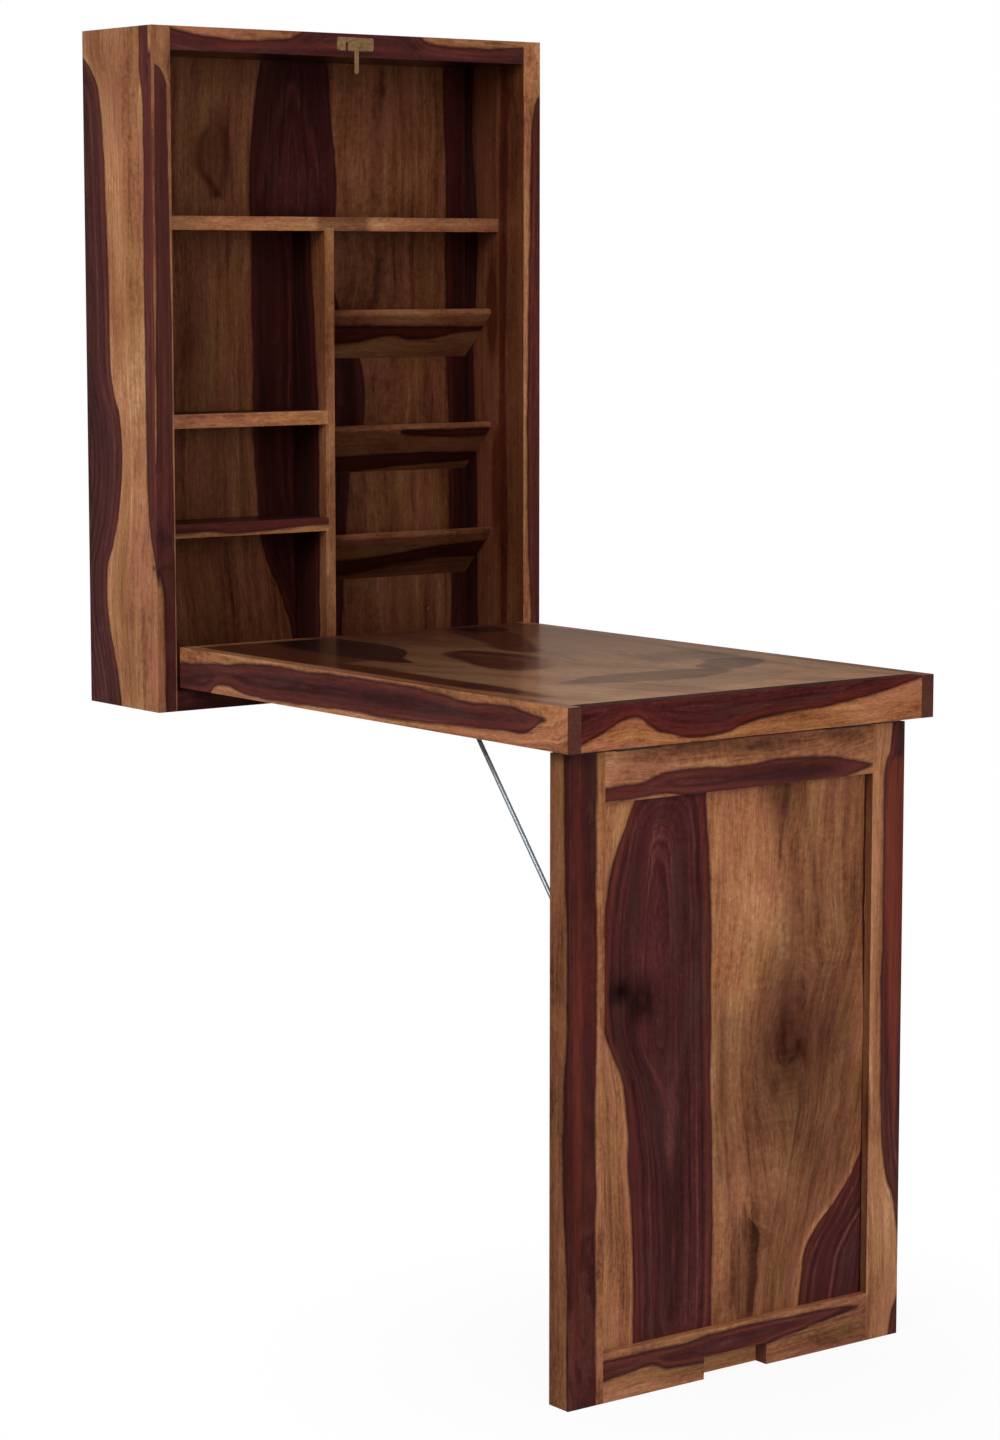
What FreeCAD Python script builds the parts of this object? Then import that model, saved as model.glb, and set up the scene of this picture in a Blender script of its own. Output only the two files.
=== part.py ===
import FreeCAD, Part
import os
import re

# A fold down wall desk: a shallow wall cabinet whose front is a hollow desktop, hinged at the foot of the
# opening. A framed leg nests in the desktop, hangs from hinges behind its end rail and stands on the floor.
# Frame: X to the right, Y into the wall, Z up. The origin is the centre of the four wall screw holes, on the
# cabinet's back plane. The model stands open: desktop level, leg upright, latch tongue hanging.

# Every size that can be set by itself, in millimetres. Levels are heights above the cabinet's underside.
SIZES = {
    "cabinet_width": 576,
    "cabinet_depth": 157,
    "side_thick": 26,
    "top_thick": 28,
    "bottom_thick": 24,
    "back_thick": 12,
    "back_inset": 20,               # back panel in front of the cabinet's back
    "back_lap": 8,                  # how far the back panel reaches into each board around it
    "housing_depth": 4,             # how deep the inner boards sit in their neighbours
    "dowel_radius": 4,
    "dowel_length": 36,
    "dowel_inset": 48,              # from the cabinet's front and back
    "hanging_rail_height": 90,
    "wall_hole_radius": 3.25,
    "wall_hole_side_inset": 88,     # from the cabinet's outer sides
    "wall_hole_foot_inset": 90,
    "wall_hole_head_inset": 72,
    "shelf_setback": 54,
    "shelf_thick": 17,
    "divider_thick": 14,
    "upper_shelf_level": 591.5,
    "left_upper_level": 353,
    "left_lower_level": 220,
    "pocket_upper_level": 477,
    "pocket_middle_level": 332,
    "pocket_lower_level": 195.5,
    "slat_setback": 69,             # slat's top edge behind the cabinet's front
    "slat_thick": 10,
    "slat_height": 55,              # from the middle of its foot to its top edge
    "desk_length": 752,
    "desk_thick": 48.5,
    "desk_side_gap": 1.25,
    "desk_head_gap": 3,             # between the shut desktop and the top board
    "rail_thick": 18,
    "board_thick": 14,
    "board_tongue_thick": 5,
    "board_tongue_reach": 5,
    "rail_tenon_length": 10,
    "rail_tenon_height": 26,
    "rail_tenon_thick": 9,
    "rail_tenon_rise": 6,           # above the desktop's underside
    "hinge_gap": 5,                 # between the two faces that a hinge's leaves are screwed to
    "hinge_proud": 3,               # pin in front of the faces that come flush when it is shut
    "hinge_length": 60,
    "leaf_width": 22,
    "leaf_thick": 1.5,
    "pin_radius": 1.2,
    "pin_clearance": 0.05,
    "knuckle_clearance": 0.1,
    "knuckle_gap": 0.4,             # between neighbouring knuckles
    "desk_hinge_inset": 33,         # hinge's end from the desktop's side rail
    "leg_hinge_inset": 12,          # hinge's end from the leg's stile
    "hinge_screw_pitch": 20,
    "hinge_screw_inset": 12,
    "screw_radius": 1.5,
    "screw_head_radius": 3,
    "screw_head_height": 1.4,
    "screw_slot_width": 0.8,
    "screw_slot_depth": 0.8,
    "hinge_screw_length": 14,
    "leg_thick": 33,
    "leg_side_gap": 3,
    "leg_foot_gap": 3,              # between the folded leg's foot and the hinge rail
    "leg_stile_width": 48,
    "leg_rail_height": 55,
    "leg_panel_thick": 9,
    "leg_panel_setback": 10,
    "leg_groove_depth": 8,
    "leg_panel_float": 0.5,
    "leg_tenon_length": 30,
    "leg_tenon_thick": 11,
    "leg_tenon_shoulder": 10,
    "pull_width": 91,               # finger recess in the leg's foot
    "pull_offset": 4,               # recess to the left of the middle
    "pull_height": 25,
    "pull_depth": 18,
    "stay_radius": 2.5,
    "stay_clearance": 0.05,
    "stay_bend_radius": 5.5,
    "stay_side_gap": 0.4,
    "stay_drop": 264,               # stay's pivot below the desktop's underside
    "stay_inset": 7,                # stay's pivot in front of the leg's back
    "stay_reach": 241,              # from the pivot back to the keeper
    "stay_pivot_depth": 14,
    "stay_pivot_end_gap": 1,
    "stay_hook_length": 10,
    "keeper_drop": 6.5,             # keeper's hole below the board
    "keeper_gap": 0.5,              # the hook stops short of the keeper
    "keeper_length": 30,
    "keeper_width": 16,
    "keeper_thick": 2,
    "keeper_hole_clearance": 0.3,
    "keeper_lip": 6,                # tab below the middle of its hole
    "keeper_screw_inset": 8,
    "keeper_screw_pitch": 13,
    "keeper_screw_length": 10,
    "latch_offset": 3,              # latch to the right of the middle
    "latch_width": 53,
    "latch_height": 16,
    "latch_thick": 1.5,
    "latch_head_gap": 4.5,          # plate below the cabinet's top
    "latch_round": 3,
    "latch_screw_offset": 20,
    "latch_screw_length": 12,
    "latch_slot_offset": 12.8,
    "latch_slot_width": 4.4,
    "latch_slot_height": 10,
    "rivet_radius": 2,
    "rivet_clearance": 0.05,
    "rivet_depth": 10,
    "rivet_head_radius": 4,
    "rivet_head_thick": 1.2,
    "tongue_gap": 0.3,              # tongue clear of the plate and of the rivet's head
    "tongue_thick": 2.4,
    "tongue_width": 5,
    "tongue_head_radius": 5,
    "tongue_length": 35.5,
}

# Places that follow from the sizes.
PLACES = {
    "cabinet_height": "bottom_thick + hinge_gap + desk_length + desk_head_gap + top_thick",
    "wall_hole_rise": "cabinet_height - wall_hole_foot_inset - wall_hole_head_inset",
    "foot_level": "0 - wall_hole_foot_inset - wall_hole_rise / 2",
    "front": "0 - cabinet_depth",
    "half_width": "cabinet_width / 2",
    "half_opening": "half_width - side_thick",
    "floor_top": "foot_level + bottom_thick",
    "opening_top": "floor_top + hinge_gap + desk_length + desk_head_gap",
    "head_level": "opening_top + top_thick",
    "shelf_front": "front + shelf_setback",
    "back_back": "0 - back_inset",
    "back_front": "back_back - back_thick",
    "half_divider": "divider_thick / 2",
    "slat_run": "back_front - (front + slat_setback) - slat_thick / 2",
    "slat_rise": "slat_height - slat_thick / 2",
    "slat_width": "sqrt(slat_run ^ 2 + slat_rise ^ 2)",
    "half_gap": "hinge_gap / 2",
    "knuckle_radius": "hinge_proud - knuckle_clearance",
    "desk_pin_y": "front - hinge_proud",
    "desk_pin_z": "floor_top + half_gap",
    "desk_half": "half_opening - desk_side_gap",
    "desk_inner": "desk_half - rail_thick",
    "desk_back": "desk_pin_y - half_gap",
    "desk_end": "desk_back - desk_length",
    "desk_under": "desk_pin_z + hinge_proud",
    "desk_top": "desk_under + desk_thick",
    "board_under": "desk_top - board_thick",
    "tongue_under": "board_under + (board_thick - board_tongue_thick) / 2",
    "end_rail_inner": "desk_end + rail_thick",
    "hinge_rail_inner": "desk_back - rail_thick",
    "leg_pin_y": "end_rail_inner + half_gap",
    "leg_pin_z": "desk_under - hinge_proud",
    "leg_top": "leg_pin_z - half_gap",
    "leg_foot": "leg_top - (hinge_rail_inner - end_rail_inner - hinge_gap - leg_foot_gap)",
    "leg_front": "leg_pin_y + hinge_proud",
    "leg_back": "leg_front + leg_thick",
    "leg_half": "desk_inner - leg_side_gap",
    "leg_inner": "leg_half - leg_stile_width",
    "panel_front": "leg_front + leg_panel_setback",
    "panel_back": "panel_front + leg_panel_thick",
    "tenon_front": "leg_front + (leg_thick - leg_tenon_thick) / 2",
    "stay_x": "0 - leg_inner + stay_side_gap + stay_bend_radius",
    "stay_y": "leg_back - stay_inset",
    "stay_z": "desk_under - stay_drop",
    "keeper_x": "stay_x + stay_hook_length + keeper_gap",
    "keeper_y": "stay_y + stay_reach",
    "keeper_z": "board_under - keeper_drop",
    "stay_rise": "keeper_z - stay_z",
    "stay_length": "sqrt(stay_reach ^ 2 + stay_rise ^ 2)",
    "latch_z": "head_level - latch_head_gap - latch_height / 2",
    "plate_front": "front - latch_thick",
    "tongue_back": "plate_front - tongue_gap",
    "tongue_front": "tongue_back - tongue_thick",
}

# Turns that send an item's own Z along an axis.
TURNS = {
    "+X": FreeCAD.Rotation(FreeCAD.Vector(0, 1, 0), 90),
    "+Y": FreeCAD.Rotation(FreeCAD.Vector(1, 0, 0), -90),
    "-Y": FreeCAD.Rotation(FreeCAD.Vector(1, 0, 0), 90),
    "+Z": FreeCAD.Rotation(),
    "-Z": FreeCAD.Rotation(FreeCAD.Vector(1, 0, 0), 180),
    "stay bend": FreeCAD.Rotation(FreeCAD.Vector(0, 1, 1), 180),
    "stay lean": FreeCAD.Rotation(FreeCAD.Vector(-1, 0, 0), 1),
    "slat lean": FreeCAD.Rotation(FreeCAD.Vector(1, 0, 0), 1),
}

doc = FreeCAD.newDocument("wall_desk")
finished = {}


def write_sheet():
    sheet = doc.addObject("Spreadsheet::Sheet", "sizes")
    for row, (name, value) in enumerate(SIZES.items(), start=1):
        sheet.set(f"A{row}", name)
        sheet.set(f"B{row}", str(value))
        sheet.setAlias(f"B{row}", name)
    doc.recompute()


def formula(text):
    """The expression for text, with each place opened up and each size read from the sheet."""
    def opened(word):
        name = word.group(0)
        if name in PLACES:
            return f"({formula(PLACES[name])})"
        return f"sizes.{name}" if name in SIZES else name
    return re.sub(r"[a-z][a-z_]*", opened, str(text))


def bind(item, **values):
    for name, text in values.items():
        item.setExpression(name.replace("__", "."), formula(text))
    return item


def put(item, x, y, z, turn="+Z"):
    item.Placement = FreeCAD.Placement(FreeCAD.Vector(), TURNS[turn])
    return bind(item, Placement__Base__x=x, Placement__Base__y=y, Placement__Base__z=z)


def block(name, x, y, z):
    """A box between the two ends of each span."""
    box = doc.addObject("Part::Box", name)
    bind(box, Length=f"({x[1]}) - ({x[0]})", Width=f"({y[1]}) - ({y[0]})", Height=f"({z[1]}) - ({z[0]})")
    return put(box, x[0], y[0], z[0])


def rod(name, radius, length, x, y, z, turn="+Z"):
    bar = doc.addObject("Part::Cylinder", name)
    bind(bar, Radius=radius, Height=length)
    return put(bar, x, y, z, turn)


def fuse(name, *items):
    whole = doc.addObject("Part::MultiFuse", name)
    whole.Shapes = list(items)
    whole.Refine = True
    return whole


def cut(name, base, *tools):
    for count, tool in enumerate(tools, start=1):
        trimmed = doc.addObject("Part::Cut", f"{name}_cut_{count}")
        trimmed.Base = base
        trimmed.Tool = tool
        base = trimmed
    return base


def group(name, items):
    bundle = doc.addObject("Part::Compound", name)
    bundle.Links = list(items)
    return bundle


def copy_of(item, name, x, y, z, turn="+Z"):
    return put(group(name, [item]), x, y, z, turn)


def finish(name, item):
    """Marks item as the sub-part called name."""
    item.Label = name
    finished[name] = item
    return item


def minus(text):
    return f"0 - ({text})"


def both_sides(reach):
    """The X span that reaches equally far to each side of the middle."""
    return minus(reach), reach


def one_side(side, inner, outer):
    """The X span between two distances from the middle."""
    return (minus(outer), minus(inner)) if side == "left" else (inner, outer)


# Screws: countersunk slotted heads, each made as the plain filler of its hole and as the slotted screw.

def screw_kind(name, length):
    head = doc.addObject("Part::Cone", f"{name}_head")
    bind(head, Radius1="screw_head_radius", Radius2="screw_radius", Height="screw_head_height")
    shank = rod(f"{name}_shank", "screw_radius", length, 0, 0, 0)
    plain = fuse(f"{name}_plain", head, shank)
    slot = block(f"{name}_slot", both_sides("2 * screw_head_radius"), both_sides("screw_slot_width / 2"),
                 (minus("screw_slot_depth"), "screw_slot_depth"))
    return plain, cut(f"{name}_slotted", plain, slot)


def screws(name, kind, places, turn):
    """Finishes the screws at places, and returns what cuts their holes."""
    plain, slotted = kind
    seen = [copy_of(slotted, f"{name}_{number}", *place, turn) for number, place in enumerate(places)]
    holes = [copy_of(plain, f"{name}_hole_{number}", *place, turn) for number, place in enumerate(places)]
    finish(name, group(name, seen))
    return group(f"{name}_holes", holes)


# Butt hinges: the pin runs along X, tight in the fixed leaf's two knuckles and loose in the moving one's.

def knuckle_spans(centre, numbers):
    for number in numbers:
        low = f"{centre} + ({number} / 3 - 1 / 2) * hinge_length"
        yield f"{low} + knuckle_gap / 2", f"{low} + hinge_length / 3 - knuckle_gap / 2"


def hinge_leaf(name, centre, knuckles, pin, plate, tab, holes):
    """One leaf. plate and tab are Y and Z spans: the tab joins the plate to a knuckle."""
    plate_x = (f"{centre} - hinge_length / 2", f"{centre} + hinge_length / 2")
    pieces = [block(f"{name}_plate", plate_x, *plate)]
    for number, span in enumerate(knuckle_spans(centre, knuckles)):
        pieces.append(block(f"{name}_tab_{number}", span, *tab))
        pieces.append(rod(f"{name}_knuckle_{number}", "knuckle_radius", f"({span[1]}) - ({span[0]})",
                          span[0], *pin, "+X"))
    return finish(name, cut(name, fuse(f"{name}_body", *pieces), *holes))


def hinges(fold, centres, pin, fixed, moving, kind):
    """All hinges of one fold, and what cuts the screw holes of their fixed and moving leaves."""
    holes = []
    for leaf in (fixed, moving):
        places = [(f"{centre} + {step} * hinge_screw_pitch", *leaf["screw"])
                  for centre in centres for step in (-1, 0, 1)]
        holes.append(screws(f"{fold}_hinge_{leaf['name']}_screws", kind, places, leaf["turn"]))
    for number, centre in enumerate(centres, start=1):
        name = f"{fold}_hinge_{number}"
        start = f"{centre} - hinge_length / 2"
        tight = finish(f"{name}_pin", rod(f"{name}_pin", "pin_radius", "hinge_length", start, *pin, "+X"))
        loose = rod(f"{name}_bore", "pin_radius + pin_clearance", "hinge_length", start, *pin, "+X")
        hinge_leaf(f"{name}_{fixed['name']}_leaf", centre, (0, 2), pin, fixed["plate"], fixed["tab"],
                   (tight, holes[0]))
        hinge_leaf(f"{name}_{moving['name']}_leaf", centre, (1,), pin, moving["plate"], moving["tab"],
                   (loose, holes[1]))
    return holes


def desk_hinges(kind):
    """From the bottom board's top to the desktop's hinged end."""
    on_floor = ("floor_top", "floor_top + leaf_thick")
    on_desk = ("desk_back", "desk_back + leaf_thick")
    fixed = {"name": "cabinet", "turn": "-Z",
             "screw": ("front + hinge_screw_inset", "floor_top + leaf_thick"),
             "plate": (("front", "front + leaf_width"), on_floor),
             "tab": (("desk_pin_y", "front"), on_floor)}
    moving = {"name": "desk", "turn": "-Y",
              "screw": ("desk_back + leaf_thick", "desk_under + hinge_screw_inset"),
              "plate": (on_desk, ("desk_under", "desk_under + leaf_width")),
              "tab": (on_desk, ("desk_pin_z", "desk_under"))}
    outer = "desk_inner - desk_hinge_inset - hinge_length / 2"
    centres = (minus(outer), "0", outer)
    return hinges("desk", centres, ("desk_pin_y", "desk_pin_z"), fixed, moving, kind)


def leg_hinges(kind):
    """From the end rail's inner face to the top of the leg."""
    on_rail = ("end_rail_inner", "end_rail_inner + leaf_thick")
    on_leg = ("leg_top", "leg_top + leaf_thick")
    fixed = {"name": "desk", "turn": "-Y",
             "screw": ("end_rail_inner + leaf_thick", "desk_under + hinge_screw_inset"),
             "plate": (on_rail, ("desk_under", "desk_under + leaf_width")),
             "tab": (on_rail, ("leg_pin_z", "desk_under"))}
    moving = {"name": "leg", "turn": "-Z",
              "screw": ("leg_front + hinge_screw_inset", "leg_top + leaf_thick"),
              "plate": (("leg_front", "leg_front + leaf_width"), on_leg),
              "tab": (("leg_pin_y", "leg_front"), on_leg)}
    outer = "leg_inner - leg_hinge_inset - hinge_length / 2"
    centres = (minus(outer), outer)
    return hinges("leg", centres, ("leg_pin_y", "leg_pin_z"), fixed, moving, kind)


# Cabinet

def wall_holes(name, y, length, rows=(-1, 1)):
    """Holes for the wall screws, bored forwards from y."""
    return group(name, [rod(f"{name}_{column}_{row}", "wall_hole_radius", length,
                            f"{column} * (half_width - wall_hole_side_inset)", y, f"{row} * wall_hole_rise / 2", "-Y")
                        for column in (-1, 1) for row in rows])


def back_panel():
    panel = block("back_board", both_sides("half_opening + back_lap"), ("back_front", "back_back"),
                  ("floor_top - back_lap", "opening_top + back_lap"))
    holes = wall_holes("back_hole", "back_back", "back_thick")
    return finish("back_panel", cut("back_panel", panel, holes))


def hanging_rails():
    """Two rails behind the back panel, which the wall screws pass through."""
    spans = {"lower": ("floor_top", "floor_top + hanging_rail_height"),
             "upper": ("opening_top - hanging_rail_height", "opening_top")}
    for row, (place, z) in zip((-1, 1), spans.items()):
        name = f"hanging_rail_{place}"
        rail = block(f"{name}_blank", both_sides("half_opening"), ("back_back", "0"), z)
        finish(name, cut(name, rail, wall_holes(f"{name}_hole", 0, "back_inset", [row])))


def cabinet_dowels():
    """Two dowels in each corner joint, half in the side panel and half in the cross board."""
    heights = ("foot_level + bottom_thick / 2", "opening_top + top_thick / 2")
    depths = ("front + dowel_inset", minus("dowel_inset"))
    pegs = []
    for joint in (minus("half_opening"), "half_opening"):
        for z in heights:
            for y in depths:
                pegs.append(rod(f"dowel_{len(pegs)}", "dowel_radius", "dowel_length",
                                f"{joint} - dowel_length / 2", y, z, "+X"))
    return finish("cabinet_dowels", group("cabinet_dowels", pegs))


def shelf_board(name, x, level):
    top = f"foot_level + {level}"
    return block(name, x, ("shelf_front", "back_front"), (f"{top} - shelf_thick", top))


def left_shelves():
    x = (minus("half_opening + housing_depth"), "housing_depth - half_divider")
    return [finish(f"left_shelf_{place}", shelf_board(f"left_shelf_{place}", x, f"left_{place}_level"))
            for place in ("upper", "lower")]


def letter_pocket(place, back):
    """A slat that leans forward from the back panel, its top edge round and its foot flat on the panel."""
    name = f"pocket_slat_{place}"
    width = "half_opening + 2 * housing_depth - half_divider"
    face = block(f"slat_face_{place}", (0, width), both_sides("slat_thick / 2"),
                 (minus("slat_thick"), "slat_width"))
    nose = rod(f"slat_nose_{place}", "slat_thick / 2", width, 0, 0, "slat_width", "+X")
    foot = f"foot_level + pocket_{place}_level - slat_height"
    slat = put(fuse(name, face, nose), "half_divider - housing_depth", "back_front", foot, "slat lean")
    bind(slat, Placement__Rotation__Angle="atan2(slat_run; slat_rise)")
    return finish(name, cut(name, slat, back))


def centre_divider(housed):
    top = "foot_level + upper_shelf_level - shelf_thick + housing_depth"
    board = block("divider_board", both_sides("half_divider"), ("shelf_front", "back_front"),
                  ("floor_top - housing_depth", top))
    return finish("centre_divider", cut("centre_divider", board, *housed))


def upper_shelf(divider):
    board = shelf_board("upper_shelf_board", both_sides("half_opening + housing_depth"), "upper_shelf_level")
    return finish("upper_shelf", cut("upper_shelf", board, divider))


def side_panel(side, tools):
    board = block(f"{side}_side_board", one_side(side, "half_opening", "half_width"), ("front", "0"),
                  ("foot_level", "head_level"))
    return finish(f"{side}_side_panel", cut(f"{side}_side_panel", board, *tools))


def cross_board(name, z, tools):
    board = block(f"{name}_blank", both_sides("half_opening"), ("front", "0"), z)
    return finish(name, cut(name, board, *tools))


def cabinet(hinge_holes, latch_holes):
    back = back_panel()
    hanging_rails()
    dowels = cabinet_dowels()
    shelves = left_shelves()
    pockets = [letter_pocket(place, back) for place in ("upper", "middle", "lower")]
    divider = centre_divider(shelves + pockets)
    top_shelf = upper_shelf(divider)
    side_panel("left", [back, dowels, top_shelf, *shelves])
    side_panel("right", [back, dowels, top_shelf, *pockets])
    cross_board("bottom_board", ("foot_level", "floor_top"), [back, dowels, divider, hinge_holes])
    cross_board("top_board", ("opening_top", "head_level"), [back, dowels, *latch_holes])


# Desktop

def board_with_tongue():
    core = block("board_core", both_sides("desk_inner"), ("end_rail_inner", "hinge_rail_inner"),
                 ("board_under", "desk_top"))
    reach = "board_tongue_reach"
    tongue = block("board_tongue", both_sides(f"desk_inner + {reach}"),
                   (f"end_rail_inner - {reach}", f"hinge_rail_inner + {reach}"),
                   ("tongue_under", "tongue_under + board_tongue_thick"))
    return fuse("board_with_tongue", core, tongue)


def cross_rail(name, y, tools):
    """A rail tenoned into both side rails."""
    middle = f"({y[0]} + {y[1]}) / 2"
    core = block(f"{name}_core", both_sides("desk_inner"), y, ("desk_under", "desk_top"))
    tenon = block(f"{name}_tenon", both_sides("desk_inner + rail_tenon_length"),
                  (f"{middle} - rail_tenon_thick / 2", f"{middle} + rail_tenon_thick / 2"),
                  ("desk_under + rail_tenon_rise", "desk_under + rail_tenon_rise + rail_tenon_height"))
    return finish(name, cut(name, fuse(f"{name}_body", core, tenon), *tools))


def side_rail(side, tools):
    name = f"desk_{side}_rail"
    blank = block(f"{name}_blank", one_side(side, "desk_inner", "desk_half"), ("desk_end", "desk_back"),
                  ("desk_under", "desk_top"))
    return finish(name, cut(name, blank, *tools))


def desktop(desk_hinge_holes, leg_hinge_holes, keeper_holes):
    board = board_with_tongue()
    finish("desktop_board", cut("desktop_board", board, keeper_holes))
    end = cross_rail("desk_end_rail", ("desk_end", "end_rail_inner"), [board, leg_hinge_holes])
    hinged = cross_rail("desk_hinge_rail", ("hinge_rail_inner", "desk_back"), [board, desk_hinge_holes])
    for side in ("left", "right"):
        side_rail(side, [board, end, hinged])


# Leg

def panel_block(name, reach, groove):
    """The leg panel's slab, reaching into the frame by groove on every edge."""
    return block(name, both_sides(reach), ("panel_front", "panel_back"),
                 (f"leg_foot + leg_rail_height - {groove}", f"leg_top - leg_rail_height + {groove}"))


def leg_panel():
    """Finishes the panel, and returns what cuts the grooves that it floats in."""
    inside = "(leg_groove_depth - leg_panel_float)"
    finish("leg_panel", panel_block("leg_panel", f"leg_inner + {inside}", inside))
    return panel_block("leg_groove", "leg_inner + leg_groove_depth", "leg_groove_depth")


def leg_rail(name, z, tools):
    core = block(f"{name}_core", both_sides("leg_inner"), ("leg_front", "leg_back"), z)
    tenon = block(f"{name}_tenon", both_sides("leg_inner + leg_tenon_length"),
                  ("tenon_front", "tenon_front + leg_tenon_thick"),
                  (f"{z[0]} + leg_tenon_shoulder", f"{z[1]} - leg_tenon_shoulder"))
    return finish(name, cut(name, fuse(f"{name}_body", core, tenon), *tools))


def finger_recess():
    x = ("0 - pull_offset - pull_width / 2", "pull_width / 2 - pull_offset")
    return block("finger_recess", x, ("leg_front", "leg_front + pull_depth"),
                 ("leg_foot", "leg_foot + pull_height"))


def leg_stile(side, tools):
    name = f"leg_{side}_stile"
    blank = block(f"{name}_blank", one_side(side, "leg_inner", "leg_half"), ("leg_front", "leg_back"),
                  ("leg_foot", "leg_top"))
    return finish(name, cut(name, blank, *tools))


def leg(hinge_holes):
    groove = leg_panel()
    top = leg_rail("leg_top_rail", ("leg_top - leg_rail_height", "leg_top"), [groove, hinge_holes])
    bottom = leg_rail("leg_bottom_rail", ("leg_foot", "leg_foot + leg_rail_height"),
                      [groove, finger_recess()])
    depth = "stay_pivot_depth + stay_pivot_end_gap"
    stay_hole = rod("stay_hole", "stay_radius + stay_clearance", depth,
                    f"0 - leg_inner - ({depth})", "stay_y", "stay_z", "+X")
    leg_stile("left", [groove, top, bottom, stay_hole])
    leg_stile("right", [groove, top, bottom])


# Stay

def stay_quarter(name, x, z, turn):
    """A quarter bend about its own centre."""
    bend = doc.addObject("Part::Torus", name)
    bind(bend, Radius1="stay_bend_radius", Radius2="stay_radius")
    bend.Angle3 = 90
    return put(bend, x, 0, z, turn)


def stay_rod():
    """A steel rod bent left into the leg's stile and right towards the keeper, leaning back from its pivot."""
    low = "stay_bend_radius"
    high = "stay_length - stay_bend_radius"
    reach = "stay_side_gap + stay_pivot_depth"
    pieces = [
        rod("stay_shank", "stay_radius", "stay_length - 2 * stay_bend_radius", 0, 0, low),
        stay_quarter("stay_low_bend", minus(low), low, "+Y"),
        rod("stay_pivot", "stay_radius", reach, f"0 - {low} - ({reach})", 0, 0, "+X"),
        stay_quarter("stay_high_bend", low, high, "stay bend"),
        rod("stay_hook", "stay_radius", "stay_hook_length - stay_bend_radius", low, 0, "stay_length", "+X"),
    ]
    stay = put(fuse("stay_rod", *pieces), "stay_x", "stay_y", "stay_z", "stay lean")
    return finish("stay_rod", bind(stay, Placement__Rotation__Angle="atan(stay_reach / stay_rise)"))


def stay_keeper(kind):
    """An angle under the board, with a hole in its tab for the stay's hook."""
    y = ("keeper_y - keeper_width / 2", "keeper_y + keeper_width / 2")
    base = block("keeper_base", ("keeper_x", "keeper_x + keeper_length"), y,
                 ("board_under - keeper_thick", "board_under"))
    tab_x = ("keeper_x", "keeper_x + keeper_thick")
    tab = block("keeper_tab", tab_x, y, ("keeper_z - keeper_lip", "board_under"))
    hook_hole = rod("keeper_hook_hole", "stay_radius + keeper_hole_clearance", "keeper_thick",
                    "keeper_x", "keeper_y", "keeper_z", "+X")
    places = [(f"keeper_x + keeper_screw_inset + {number} * keeper_screw_pitch", "keeper_y",
               "board_under - keeper_thick") for number in (0, 1)]
    holes = screws("stay_keeper_screws", kind, places, "+Z")
    finish("stay_keeper", cut("stay_keeper", fuse("keeper_body", base, tab), hook_hole, holes))
    return holes


# Latch

def latch_rivet():
    """The rivet that holds the tongue, tight in the plate and the top board."""
    start = "tongue_front - tongue_gap"
    shank = rod("rivet_shank", "rivet_radius", f"front + rivet_depth - ({start})",
                "latch_offset", start, "latch_z", "+Y")
    head = rod("rivet_head", "rivet_head_radius", "rivet_head_thick", "latch_offset", start, "latch_z", "-Y")
    return finish("latch_rivet", fuse("latch_rivet", shank, head))


def latch_plate(kind, rivet):
    """A slotted plate with round corners on the top board's front."""
    y = ("plate_front", "front")
    left, right = "latch_offset - latch_width / 2", "latch_offset + latch_width / 2"
    low, high = "latch_z - latch_height / 2", "latch_z + latch_height / 2"
    pieces = [
        block("plate_wide", (left, right), y, (f"{low} + latch_round", f"{high} - latch_round")),
        block("plate_tall", (f"{left} + latch_round", f"{right} - latch_round"), y, (low, high)),
    ]
    for x in (f"{left} + latch_round", f"{right} - latch_round"):
        for z in (f"{low} + latch_round", f"{high} - latch_round"):
            pieces.append(rod(f"plate_corner_{len(pieces)}", "latch_round", "latch_thick", x, "front", z, "-Y"))
    slot_x = "latch_offset - latch_slot_offset"
    slot = block("plate_slot", (f"{slot_x} - latch_slot_width / 2", f"{slot_x} + latch_slot_width / 2"),
                 y, (low, f"{low} + latch_slot_height"))
    places = [(f"latch_offset + {sign} * latch_screw_offset", "plate_front", "latch_z") for sign in (-1, 1)]
    holes = screws("latch_screws", kind, places, "+Y")
    finish("latch_plate", cut("latch_plate", fuse("plate_body", *pieces), slot, holes, rivet))
    return holes


def latch_tongue():
    """A flat tongue with a round head and tip, hanging in front of the shut desktop's edge."""
    tip_z = "latch_z - tongue_length + tongue_width / 2"
    y = ("tongue_front", "tongue_back")
    head = rod("tongue_head", "tongue_head_radius", "tongue_thick", "latch_offset", y[1], "latch_z", "-Y")
    tip = rod("tongue_tip", "tongue_width / 2", "tongue_thick", "latch_offset", y[1], tip_z, "-Y")
    arm = block("tongue_arm", ("latch_offset - tongue_width / 2", "latch_offset + tongue_width / 2"), y,
                (tip_z, "latch_z"))
    hole = rod("tongue_hole", "rivet_radius + rivet_clearance", "tongue_thick",
               "latch_offset", y[1], "latch_z", "-Y")
    return finish("latch_tongue", cut("latch_tongue", fuse("tongue_body", head, tip, arm), hole))


def wall_desk():
    hinge_screw = screw_kind("hinge_screw", "hinge_screw_length")
    cabinet_holes, desk_holes = desk_hinges(hinge_screw)
    rail_holes, leg_holes = leg_hinges(hinge_screw)
    keeper_holes = stay_keeper(screw_kind("keeper_screw", "keeper_screw_length"))
    rivet = latch_rivet()
    plate_holes = latch_plate(screw_kind("latch_screw", "latch_screw_length"), rivet)
    latch_tongue()
    stay_rod()
    leg(leg_holes)
    desktop(desk_holes, rail_holes, keeper_holes)
    cabinet(cabinet_holes, [plate_holes, rivet])


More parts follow.
